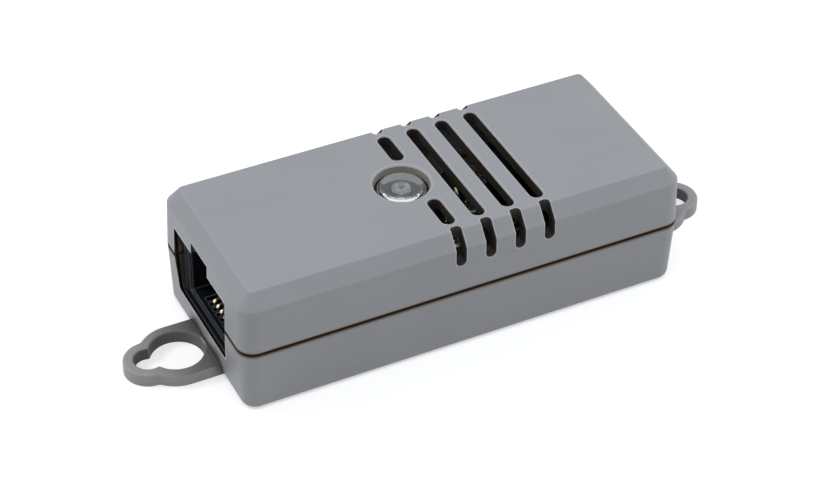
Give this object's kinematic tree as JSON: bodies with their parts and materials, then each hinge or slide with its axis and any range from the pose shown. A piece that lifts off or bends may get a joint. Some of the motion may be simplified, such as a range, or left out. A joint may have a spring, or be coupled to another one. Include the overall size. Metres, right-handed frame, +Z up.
{
  "type": "rack temperature sensor",
  "caption": "Small grey plastic sensor box with a modular jack at one end, vent slots and a clear light pipe on top, and a keyhole ear at each end for fixing it in a rack.",
  "frame": {"origin": "centre of the flat underside, on the surface that the case rests on", "axes": "+X along the length, away from the jack; +Y across the width; +Z up, out of the vented top"},
  "size_m": [0.0758, 0.024, 0.0163],
  "materials": {
    "case_grey": "fine moulded grain",
    "clear_lens": "clear moulded plastic",
    "jack_black": "smooth moulded black",
    "contact_gold": "thin gold plating",
    "board_green": "green solder mask on glass laminate",
    "chip_black": "moulded epoxy",
    "lead_tin": "matt tin plating",
    "lamp_white": "white moulded",
    "can_aluminium": "bright can",
    "ferrite_grey": "sintered",
    "ceramic_tan": "fired ceramic",
    "resistor_dark": "glazed film",
    "screw_steel": "zinc plated"
  },
  "bodies": {
    "root": {"upper_shell": "case_grey", "lower_shell": "case_grey", "light_pipe": "clear_lens", "jack_housing": "jack_black", "jack_contacts": "contact_gold", "circuit_board": "board_green", "sensor_body": "chip_black", "sensor_leads": "contact_gold", "status_led": "lamp_white", "led_terminals": "contact_gold", "controller_chip": "chip_black", "controller_leads": "lead_tin", "memory_chip": "chip_black", "memory_leads": "lead_tin", "regulator_body": "chip_black", "regulator_leads": "lead_tin", "capacitor_can": "can_aluminium", "capacitor_base": "chip_black", "capacitor_leads": "lead_tin", "clamp_diodes": "chip_black", "diode_leads": "lead_tin", "ferrite_beads": "ferrite_grey", "ceramic_capacitors": "ceramic_tan", "chip_resistors": "resistor_dark", "case_screws": "screw_steel"}
  },
  "joints": []
}
